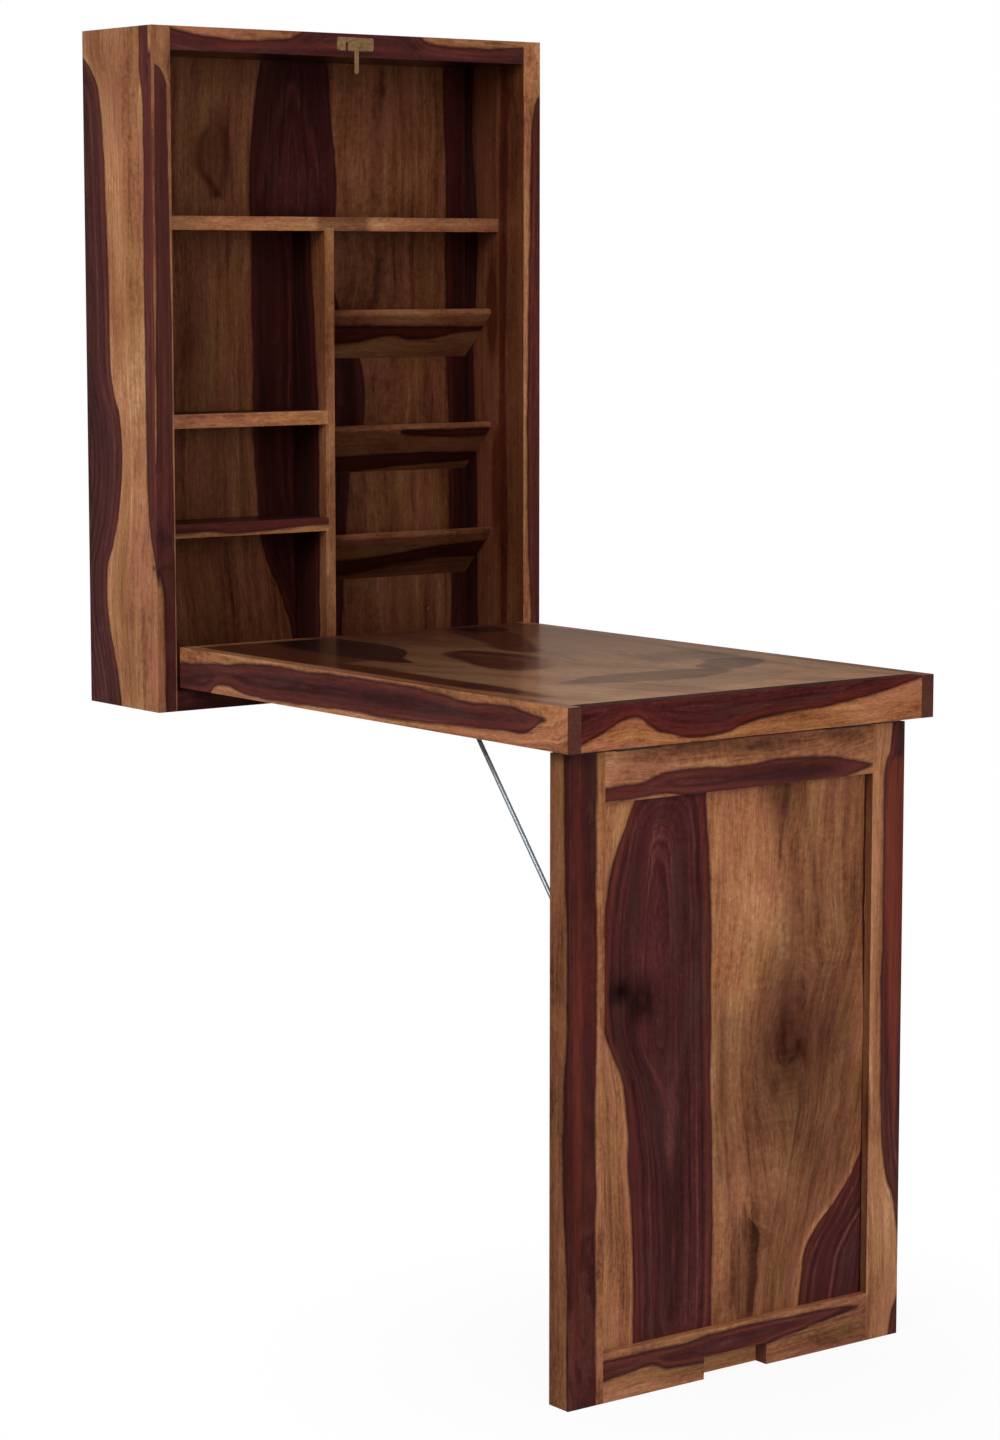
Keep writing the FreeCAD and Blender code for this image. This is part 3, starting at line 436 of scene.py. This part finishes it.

# The figure of each board, in millimetres in the row frame, drawn after the photograph where it shows.
# Tone and dusk in them are painted shade, deepest inside the cabinet and on faces turned from the lamps.
BOARDS = {
    "leg_panel": dict(grain="z", across="x", seed=1, wobble=0.8, gloss=0.6, pale=0.04, heart=[
        points((-1200, -140, -33), (-951, -144, -32), (-854, -149, -32), (-790, -152, -33), (-758, -156, -34),
               (-722, -170, -34), (-683, -185, -35), (-612, -186, -36), (-540, -179, -39), (-475, -156, -43),
               (-425, -126, -46)),
        points((-1200, 104, 300), (-1010, 103, 300), (-975, 112, 300), (-930, 152, 300), (-885, 186, 300),
               (-845, 198, 300), (-820, 214, 300)),
    ], flow=[
        points((-1085, -140, -33), (-790, -152, -33), (-683, -185, -35), (-540, -179, -39), (-425, -126, -46)),
        points((-1200, 104, 300), (-1010, 103, 300), (-930, 152, 300), (-820, 214, 300)),
    ], stains_and_painted_reflection=[
        dict(points=((-1060, 10, 30), (-1020, 0, 32), (-1000, -5, 36), (-975, -6, 36), (-955, -4, 40),
                     (-940, 3, 33), (-928, 9, 22), (-912, 13, 17)), depth=0.34, soft=0.002),
        dict(points=((-1040, 20, 30), (-1000, 20, 35), (-965, 20, 36), (-948, 12, 34), (-932, 10, 24)),
             depth=0.16, soft=0.003),
        dict(points=((-972, 30, 38), (-958, 36, 60), (-950, 34, 52), (-940, 28, 36)), depth=0.2, soft=0.003),
        dict(points=((-1200, -30, 94), (-1010, -30, 95), (-975, -30, 104), (-930, -30, 144), (-885, -30, 178),
                     (-845, -30, 192), (-400, -30, 196)), depth=0.42, soft=0.006),
        dict(points=((-690, -20, 16), (-640, -40, 50), (-580, -40, 70), (-510, -40, 56), (-440, -20, 20)),
             depth=-0.40, soft=0.022),
        dict(points=((-990, -30, 20), (-940, -30, 40), (-880, -30, 30)), depth=-0.14, soft=0.015),
        dict(points=((-620, 118, 128), (-560, 112, 122), (-500, 96, 108), (-440, 90, 100)), depth=0.2),
        dict(points=((-900, 150, 156), (-800, 158, 168), (-700, 164, 172), (-560, 168, 176)), depth=0.2),
        dict(points=((-900, -24, -20), (-800, -22, -14), (-640, -24, -18)), depth=0.2),
    ], knots=[(-740, 86, 220, 140, 0.30), (-745, 88, 120, 72, 0.30), (-746, 92, 20, 15, 0.2),
              (-460, 66, 60, 50, 0.2), (-800, 150, 160, 60, 0.1), (-690, -125, 90, 60, 0.3),
              (-570, -112, 70, 50, 0.2), (-900, -75, 60, 30, 0.2), (-652, -163, 24, 20, 0.9),
              (-664, -133, 40, 34, 0.8), (-664, -133, 9, 9, -0.25), (-880, 118, 60, 40, 0.15)],
        # Painted shade in the gaps between the panel and its frame.
        seams=[points((-1200, 189, 193), (-400, 189, 193)), points((-1200, -193, -190), (-400, -193, -190))]),
    "leg_top_rail": dict(grain="x", across="z", seed=2, wobble=0.5, heart=[
        points((-240, -444, -430), (-147, -444, -428), (-117, -443, -421), (-74, -448, -418), (0, -448, -421),
               (70, -452, -418), (115, -452, -420), (150, -447, -426), (178, -440, -432), (198, -436, -435)),
    ], knots=[(30, -400, 70, 14, 0.6), (150, -398, 60, 12, 0.6), (-60, -396, 60, 10, 0.5)]),
    "leg_bottom_rail": dict(grain="x", across="z", seed=3, wobble=0.5, heart=[
        points((-240, -1076, -1051), (-161, -1072, -1052), (-130, -1069, -1052), (-100, -1077, -1053),
               (-37, -1080, -1050), (39, -1075, -1049), (91, -1069, -1051), (135, -1063, -1051),
               (180, -1057, -1055)),
    ]),
    "leg_right_stile": dict(grain="z", across="x", seed=4, wobble=0.5, rosy=0.85, pale=0.16, heart=[
        points((-1020, 243, 300), (-951, 233, 300), (-882, 214, 300), (-730, 209, 300), (-557, 210, 300),
               (-440, 211, 300), (-420, 218, 300), (-360, 226, 300)),
        points((-1200, 222, 300), (-1085, 228, 300), (-1055, 238, 300), (-1036, 246, 300)),
    ], red=[points((-860, 230, 232), (-760, 222, 238), (-640, 213, 242), (-560, 211, 243), (-470, 213, 243),
                 (-430, 224, 238))],
        dusk=[("x", -1, "z", -1100, -400, 0.85, 0.85)]),
    "leg_left_stile": dict(grain="z", across="x", seed=5, wobble=0.35, rosy=0.75, heart=[
        dict(points=((-1200, -300, -202), (-900, -300, -203), (-700, -300, -204), (-560, -300, -204),
                     (-300, -300, -203)), within=(-910, -889)),
        dict(axis="y", points=((-990, -910, -890), (-950, -910, -888), (-850, -910, -882), (-760, -910, -883),
                               (-680, -910, -889), (-640, -910, -890), (-560, -910, -887), (-450, -910, -883),
                               (-300, -910, -882)), within=(-250, -236)),
    ], red=[points((-1060, -230, -226), (-1000, -235, -223), (-800, -236, -221), (-480, -235, -222),
                   (-340, -230, -226))],
        tone=0.16, gloss=0.5, dusk=[("x", -1, "z", -1099, -400, 0.38, 0.46)]),
    "left_side_panel": dict(grain="z", across="y", seed=6, pale=0.14, wobble=0.45, rosy=0.6, gloss=1.3, heart=[
        points((-600, -72, 60), (-425, -72, 60), (-385, -66, 60), (-345, -55, 60), (-300, -43, 60),
               (-262, -41, 60), (-218, -57, 60), (-169, -72, 60), (-120, -79, 60), (-80, -77, 60),
               (-30, -61, 60), (0, -55, 60), (80, -54, 60), (160, -50, 60), (260, -46, 60), (310, -40, 60),
               (345, -23, 60), (366, 0, 60), (372, 8, 60)),
        points((-262, -200, -160), (-230, -200, -152), (-192, -200, -142), (-112, -200, -137),
               (0, -200, -136), (160, -200, -135), (300, -200, -137), (352, -200, -131), (450, -200, -130)),
        dict(axis="x", points=((-500, -279, -255), (-325, -279, -255), (-271, -281, -255), (-240, -290, -255)),
             within=(-175, -149)),
    ], sap=[
        dict(axis="x", points=((-120, -294, -287), (0, -294, -285.5), (100, -294, -285), (240, -294, -284.5),
                               (330, -294, -284), (450, -294, -284)), within=(-164, -156), gain=2.0),
        dict(axis="x", points=((-420, -264, -250), (0, -264.5, -250), (160, -265.5, -250), (300, -268, -250),
                               (450, -272, -250)), within=(-164, -154), gain=2.5),
        dict(axis="x", points=((312, -264, -250), (330, -269, -250), (346, -276, -250), (358, -287, -250),
                               (450, -288, -250)), within=(-164, -150), gain=2.0),
    ], red=[points((-200, -158, -148), (100, -158, -146), (300, -158, -144), (340, -158, -150))],
        stains_and_painted_reflection=[dict(points=((270, -130, -40), (320, -130, 0), (380, -130, 20), (450, -130, 20)), depth=0.26,
                    soft=0.02),
               dict(points=((40, -120, -90), (120, -128, -80), (200, -120, -90)), depth=-0.16, soft=0.02)],
        dusk=[("x", 1, "y", -157, -32, 0.6, 0.8), ("y", -1, "z", -400, 380, 0.42, 0.36)]),
    "right_side_panel": dict(grain="z", across="y", seed=7, pale=0.1, wobble=0.6, gloss=0.5, heart=[
        dict(axis="x", points=((-500, 276, 320), (-330, 274, 320), (-200, 269, 320), (100, 270, 320),
                               (270, 273, 320), (330, 290, 320)), within=(-175, -148)),
        points((-500, -52, 50), (-200, -58, 50), (0, -50, 50), (150, -58, 50), (300, -48, 50), (450, -60, 50)),
    ], knots=[(320, -120, 34, 12, 0.5), (250, -118, 30, 12, 0.4), (60, -90, 80, 16, 0.3),
              (-160, -100, 90, 14, 0.3)],
        stains_and_painted_reflection=[dict(points=((-400, -118, -112), (-200, -120, -110), (0, -114, -108), (200, -122, -110),
                            (380, -116, -112)), depth=0.35)],
        dusk=[("x", -1, "y", -157, -32, 0.88, 0.93)]),
    "top_board": dict(grain="x", across="z", seed=8, wobble=0.5, tone=0.15, heart=[
        points((-300, 340, 420), (-200, 340, 386), (-100, 340, 388), (-30, 340, 420), (60, 340, 420),
               (120, 340, 388), (200, 340, 386), (300, 340, 396)),
    ], red=[points((-200, 374, 380), (-60, 377, 384), (40, 376, 381), (180, 372, 378))],
        dusk=[("z", -1, "y", -157, -32, 0.5, 0.7)]),
    "bottom_board": dict(grain="x", across="z", seed=9, chance=0.72, tone=0.6, gloss=0.5),
    "back_panel": dict(grain="z", across="x", seed=10, tone=0.35, gloss=0.35, heart=[
        points((-600, 1, 61), (-425, 1, 61), (-309, -23, 66), (-230, -56, 71), (-150, -65, 78),
               (-50, -66, 102), (30, -66, 82), (111, -67, 52), (220, -69, 59), (310, -61, 52), (350, -55, 50),
               (372, -51, 48), (500, -44, 44)),
        points((-600, 242, 340), (-100, 236, 340), (220, 229, 340), (500, 228, 340)),
    ], knots=[(258, -121, 70, 20, 0.08), (30, -205, 90, 60, 0.15), (40, -150, 120, 26, 0.12)],
        stains_and_painted_reflection=[dict(points=((200, -60, -50), (240, -52, -39), (279, -43, -30), (310, -29, -15), (342, -15, -2)),
                    depth=-0.24, soft=0.007),
               dict(points=((200, 38, 48), (240, 28, 39), (279, 15, 27), (310, 3, 15), (342, -15, -2)),
                    depth=-0.24, soft=0.007),
               dict(points=((190, -36, 26), (240, -32, 18), (280, -20, 4), (296, -12, -2)), depth=-0.16,
                    soft=0.012),
               dict(points=((200, -122, -112), (220, -136, -108), (237, -146, -103), (263, -145, -101),
                            (284, -134, -104), (312, -126, -122)), depth=0.12, soft=0.010),
               dict(points=((200, -124, -112), (220, -136, -124), (237, -147, -136), (263, -146, -136),
                            (284, -136, -127)), depth=0.15, soft=0.006),
               dict(points=((200, -122, -112), (220, -114, -104), (237, -108, -98), (262, -105, -97),
                            (284, -110, -104)), depth=0.13, soft=0.006)],
        dusk=[("y", -1, "z", -400, 100, 0.49, 0.36)]),
    "hanging_rail_upper": dict(grain="x", across="z", seed=26, chance=0.4, tone=0.5),
    "hanging_rail_lower": dict(grain="x", across="z", seed=27, chance=0.4, tone=0.5),
    "upper_shelf": dict(grain="x", across="y", seed=11, pale=0.1, gloss=0.6, heart=[
        points((-300, -84, 20), (-100, -86, 20), (60, -82, 20), (300, -80, 20)),
    ], dusk=[SHELF_UNDERSIDE, ("z", 1, "y", -103, -32, 0.3, 0.5),
             ("y", -1, "x", -60, 260, 0.14, 0.46)],
        stains_and_painted_reflection=[dict(points=((-18, -112, -94), (20, -112, -90), (60, -112, -94)), depth=0.5)]),
    "left_shelf_upper": dict(grain="x", across="y", seed=12.3, pale=0.1, gloss=0.6, heart=[
        points((-300, -84, 20), (-140, -88, 20), (20, -80, 20)),
    ], dusk=[SHELF_UNDERSIDE, ("z", 1, "y", -103, -32, 0.55, 0.8)]),
    "left_shelf_lower": dict(grain="x", across="z", seed=13, wobble=0.4, gloss=0.6, heart=[
        points((-300, -207, -180), (-180, -206, -180), (-140, -209, -180), (-60, -206, -180), (30, -204, -180)),
    ], dusk=[SHELF_UNDERSIDE, ("z", 1, "y", -103, -32, 0.5, 0.8),
             ("y", -1, "x", -260, -10, 0.25, 0.1)]),
    "centre_divider": dict(grain="z", across="y", seed=14, pale=0.05, gloss=0.5, heart=[
        points((-460, -86, 20), (-200, -88, 20), (0, -82, 20), (120, -72, 20), (220, -70, 20)),
    ], dusk=[("x", -1, "y", -103, -32, 0.72, 0.88), ("x", 1, "y", -103, -32, 0.7, 0.85),
             ("y", -1, "z", -390, 160, 0.56, 0.32)]),
    "pocket_slat_upper": dict(grain="x", across="z", seed=15, wobble=0.6, tone=0.45, pale=0.06,
                              gloss=0.5, heart=[
        points((-20, 24, 38), (60, 20, 42), (120, 28, 40), (170, 22, 40), (230, 32, 40), (300, 34, 38)),
    ], dusk=[("y", -1, "z", 0, 60, 0.40, 0.16)]),
    "pocket_slat_middle": dict(grain="x", across="z", seed=16.5, wobble=0.6, tone=0.5, pale=0.06,
                              gloss=0.5, heart=[
        points((-20, -142, -128), (80, -144, -124), (160, -138, -122), (220, -136, -124), (300, -132, -126)),
        points((120, -94, -90), (180, -100, -90), (240, -102, -90), (300, -98, -90)),
    ], dusk=[("y", -1, "z", -145, -88, 0.40, 0.16)]),
    "pocket_slat_lower": dict(grain="x", across="z", seed=17.2, wobble=0.6, tone=0.55, pale=0.06,
                              gloss=0.5, heart=[
        points((-20, -276, -254), (70, -274, -254), (150, -262, -246), (210, -258, -240), (300, -262, -236)),
    ], dusk=[("y", -1, "z", -280, -224, 0.42, 0.2)]),
    "desktop_board": dict(grain="y", across="x", seed=21, pale=0.46, gloss=0.85, heart=[
        points((-470, -142, -136), (-430, -158, -122), (-380, -162, -82), (-340, -162, -62),
               (-290, -160, -52), (-220, -152, -54), (-140, -144, -60)),
        points((-240, 130, 176), (-200, 124, 190), (-140, 120, 200)),
    ], stains_and_painted_reflection=[
        dict(points=((-830, -222, -208), (-760, -236, -200), (-700, -240, -200), (-600, -238, -204),
                     (-500, -236, -202), (-440, -234, -206), (-300, -238, -214), (-160, -240, -216)),
             depth=0.52, soft=0.010),
        dict(points=((-780, -20, 40), (-760, -90, 90), (-735, -130, 110), (-715, -90, 90), (-700, -60, -20)),
             depth=0.55, soft=0.009, within=UPPER),
        dict(points=((-735, 110, 140), (-700, 96, 196), (-670, 130, 210), (-645, 150, 190)), depth=0.62,
             soft=0.009, within=UPPER),
        dict(points=((-860, -150, 0), (-820, -120, 130), (-790, -60, 140), (-770, 20, 90)), depth=0.3,
             soft=0.02, within=UPPER),
        dict(points=((-610, -90, -50), (-560, -100, -10), (-500, -80, 10), (-430, -60, 0), (-400, -40, -10)),
             depth=0.5, soft=0.012, within=UPPER),
        dict(points=((-460, 34, 60), (-400, 36, 90), (-330, 70, 130), (-260, 90, 160), (-190, 110, 180)),
             depth=0.4, soft=0.010, within=UPPER),
        dict(points=((-640, 90, 200), (-590, 110, 220), (-560, 140, 200)), depth=0.35, soft=0.02, within=UPPER),
        dict(points=((-800, 190, 200), (-640, 196, 210), (-480, 214, 222), (-300, 226, 232)), depth=0.3),
        dict(points=((-420, -200, -170), (-330, -214, -160), (-240, -214, -150), (-160, -200, -150)), depth=0.3,
             soft=0.015, within=UPPER),
        # Painted reflection: the cabinet's dark mirror image in the lacquer, left of the line where it ends.
        dict(points=((-800, -300, -236), (-700, -300, -160), (-500, -300, 10), (-300, -300, 165),
                     (-150, -300, 280)), depth=0.26, soft=0.016, within=UPPER),
    # Painted shade and painted dark reflection of the cabinet: the top darkens towards the back and the left.
    ], dusk=[("z", 1, "y", -900, -180, 0.04, 0.80), ("z", 1, "x", -40, -240, 0.0, 0.10)]),
    "desk_left_rail": dict(grain="y", across="z", seed=22, wobble=0.6, pale=0.08, heart=[
        points((-880, -354, -352), (-864, -359, -350), (-835, -370, -346), (-813, -371, -344),
               (-770, -374, -346), (-742, -374, -347), (-706, -375, -344), (-670, -377, -341.5),
               (-640, -378, -340), (-557, -379, -339.5), (-458, -380, -340.5), (-357, -381, -341),
               (-314, -380, -343), (-285, -376, -346), (-261, -373, -348), (-228, -385, -350),
               (-200, -392, -352), (-150, -392, -356)),
    ]),
    "desk_right_rail": dict(grain="y", across="z", seed=23, chance=0.5),
    "desk_end_rail": dict(grain="x", across="z", seed=24, wobble=0.6, gloss=0.05, heart=[
        points((-300, -385, -320), (-258, -380, -320), (-227, -372, -320), (-200, -361, -320),
               (-174, -353, -320), (-154, -362, -320), (-127, -374, -320), (-85, -381, -320),
               (-50, -380, -320), (-22, -372, -320), (13, -367, -320), (85, -363, -320), (159, -355, -320),
               (219, -343, -320), (260, -334, -320)),
    ], dusk=[("z", 1, "x", -250, 250, 0.3, 0.1), ("y", -1, "x", -250, 250, 0.08, 0.08)]),
    "desk_hinge_rail": dict(grain="x", across="z", seed=25, chance=0.5),
}


def plain_material(name, shades, scale, metallic, rough):
    """A metal or plain wood with mottled colour and roughness. scale is repeats a metre on each axis."""
    material = bpy.data.materials.new(name)
    material.use_nodes = True
    t = Tree(material.node_tree)
    shader = material.node_tree.nodes["Principled BSDF"]
    place = t.vector("MULTIPLY", t.node("ShaderNodeTexCoord").outputs["Object"], scale)
    cloud = t.noise(place, detail=4.0, roughness=0.6)
    t.put(t.ramp(t.span(cloud, 0.25, 0.75), shades), shader.inputs["Base Color"])
    t.put(t.span(cloud, 0.2, 0.8, *rough), shader.inputs["Roughness"])
    lift = t.node("ShaderNodeBump", {"Strength": 0.1, "Distance": 0.0003, "Height": cloud})
    t.put(lift.outputs[0], shader.inputs["Normal"])
    shader.inputs["Metallic"].default_value = metallic
    return material


STEEL = plain_material("steel", ((0.0, linear(126, 134, 142)), (1.0, linear(156, 164, 172))),
                       (260, 260, 260), 0.5, (0.3, 0.45))
# The hinges' steel is a darker copy of the steel: painted shade for the gaps they sit in.
SHADED_HINGE_STEEL = plain_material("hinge_steel_painted_shade", ((0.0, linear(54, 46, 42)), (1.0, linear(92, 82, 76))),
                       (260, 260, 260), 0.5, (0.35, 0.5))
BRASS = plain_material("brass", ((0.0, linear(126, 92, 58)), (1.0, linear(176, 142, 100))),
                       (320, 320, 320), 0.5, (0.28, 0.42))
BEECH = plain_material("beech", ((0.0, linear(188, 148, 104)), (1.0, linear(214, 178, 134))),
                       (60, 400, 400), 0.0, (0.5, 0.6))
# The widths of the bevels, in millimetres, and the sharpness from which an edge gets one, in degrees.
BOARD_BEVEL, DOWEL_BEVEL, BRASS_BEVEL, STEEL_BEVEL = 0.9, 0.5, 0.25, 0.2
BEVEL_FROM = 40


def finish_of(name):
    """A node's material, and the width of the bevel on its edges, in millimetres."""
    if name in BOARDS:
        return wood(name, **BOARDS[name]), BOARD_BEVEL
    if name == "cabinet_dowels":
        return BEECH, DOWEL_BEVEL
    if name.startswith("latch_"):
        return BRASS, BRASS_BEVEL
    return SHADED_HINGE_STEEL if "hinge" in name else STEEL, STEEL_BEVEL


def dress():
    """Gives each CAD node its material and a small bevel on its edges."""
    for name, node in NODES.items():
        material, width = finish_of(name)
        node.data.materials.clear()
        node.data.materials.append(material)
        bevel = node.modifiers.new("edges", "BEVEL")
        bevel.width = width * MM
        bevel.segments = 2
        bevel.limit_method = "ANGLE"
        bevel.angle_limit = math.radians(BEVEL_FROM)


def floor_material():
    """Pale floor that fades to white away from the desk and keeps its shadow."""
    material = bpy.data.materials.new("floor")
    material.use_nodes = True
    t = Tree(material.node_tree)
    nodes = material.node_tree.nodes
    shader = nodes["Principled BSDF"]
    shader.inputs["Base Color"].default_value = FLOOR_GREY
    shader.inputs["Roughness"].default_value = 0.7
    shader.inputs["Specular IOR Level"].default_value = 0.1
    white = t.node("ShaderNodeEmission", {0: WHITE, 1: 1.0})
    dim = t.node("ShaderNodeEmission", {0: WHITE, 1: FLOOR_GLOSS_LEVEL})
    rays = t.node("ShaderNodeLightPath").outputs
    away = t.vector("LENGTH", t.vector("SUBTRACT", t.node("ShaderNodeNewGeometry").outputs["Position"], FOOT))
    far = t.span(away, FADE_FROM, FADE_TO, WHITE_NEAR, 1.0, smooth=True)
    seen = t.node("ShaderNodeMixShader", {0: t.math("MULTIPLY", rays["Is Camera Ray"], far),
                                          1: shader.outputs[0], 2: white.outputs[0]})
    blend = t.node("ShaderNodeMixShader", {0: rays["Is Glossy Ray"], 1: seen.outputs[0], 2: dim.outputs[0]})
    t.put(blend.outputs[0], nodes["Material Output"].inputs[0])
    return material


def floor():
    bpy.ops.mesh.primitive_plane_add(size=FLOOR_SIZE, location=(0, 0, FLOOR_LEVEL - FLOOR_GAP))
    plane = bpy.context.object
    plane.name = "floor"
    plane.data.materials.append(floor_material())


def surroundings():
    """White for the camera, even light for the object, and a dim warm room with one brighter side for gloss."""
    world = bpy.data.worlds.new("studio")
    bpy.context.scene.world = world
    world.use_nodes = True
    t = Tree(world.node_tree)
    world.node_tree.nodes.clear()
    rays = t.node("ShaderNodeLightPath").outputs
    glossy = rays["Is Glossy Ray"]
    way = t.node("ShaderNodeTexCoord").outputs["Generated"]
    facing = t.vector("DOT_PRODUCT", way, WINDOW_DIRECTION)
    sheen = t.span(facing, *WINDOW_COSINES, ROOM_LEVEL, WINDOW_LEVEL, smooth=True)
    level_x, level_y, _ = t.split(way)
    level_way = t.vector("NORMALIZE", t.join(level_x, level_y, 0.0))
    beside = t.vector("DOT_PRODUCT", level_way, STRIP_DIRECTION)
    strip = t.span(beside, *STRIP_COSINES, 0.0, STRIP_LEVEL, smooth=True)
    sheen = t.math("ADD", sheen, strip)
    level = t.math("ADD", t.math("MULTIPLY", glossy, sheen),
                   t.math("MULTIPLY", t.math("SUBTRACT", 1.0, glossy), EVEN_LEVEL))
    level = t.math("MAXIMUM", level, rays["Is Camera Ray"])
    light = t.node("ShaderNodeBackground", {0: t.mix(glossy, WHITE, ROOM_WARMTH), 1: level})
    t.put(light.outputs[0], t.node("ShaderNodeOutputWorld").inputs[0])


# Each lamp's place, what it points at, its width and height in metres, its power in watts, and what it is
# kept out of.
LAMPS = {
    "key": ((-3.3, -1.9, 1.6), (0, -0.4, -0.2), (1.6, 1.6), 125, ()),
    "fill": ((-1.6, -4.0, 0.5), (0, -0.4, -0.3), (2.4, 2.4), 95, ("visible_glossy",)),
    "back": ((2.2, 3.4, -0.55), (0, -0.2, -0.35), (3.0, 0.8), 85, ("visible_glossy", "visible_camera")),
}


def area_light(name, place, target, size, power, hidden):
    data = bpy.data.lights.new(name, "AREA")
    data.shape = "RECTANGLE"
    data.size, data.size_y = size
    data.energy = power
    lamp = bpy.data.objects.new(name, data)
    bpy.context.scene.collection.objects.link(lamp)
    lamp.location = place
    lamp.rotation_euler = (Vector(target) - Vector(place)).to_track_quat("-Z", "Y").to_euler()
    for rays in hidden:
        setattr(lamp, rays, False)


def studio():
    floor()
    surroundings()
    for name, settings in LAMPS.items():
        area_light(name, *settings)


def camera():
    data = bpy.data.cameras.new("camera")
    data.sensor_width = CAMERA_FILM
    data.lens = CAMERA_LENS
    data.clip_end = CAMERA_REACH
    seat = bpy.data.objects.new("camera", data)
    bpy.context.scene.collection.objects.link(seat)
    seat.location = CAMERA_PLACE
    seat.rotation_euler = (math.radians(90 - CAMERA_TILT), 0, math.radians(-CAMERA_AZIMUTH))
    bpy.context.scene.camera = seat


dress()
studio()
camera()
bpy.context.scene.view_settings.view_transform = "Standard"
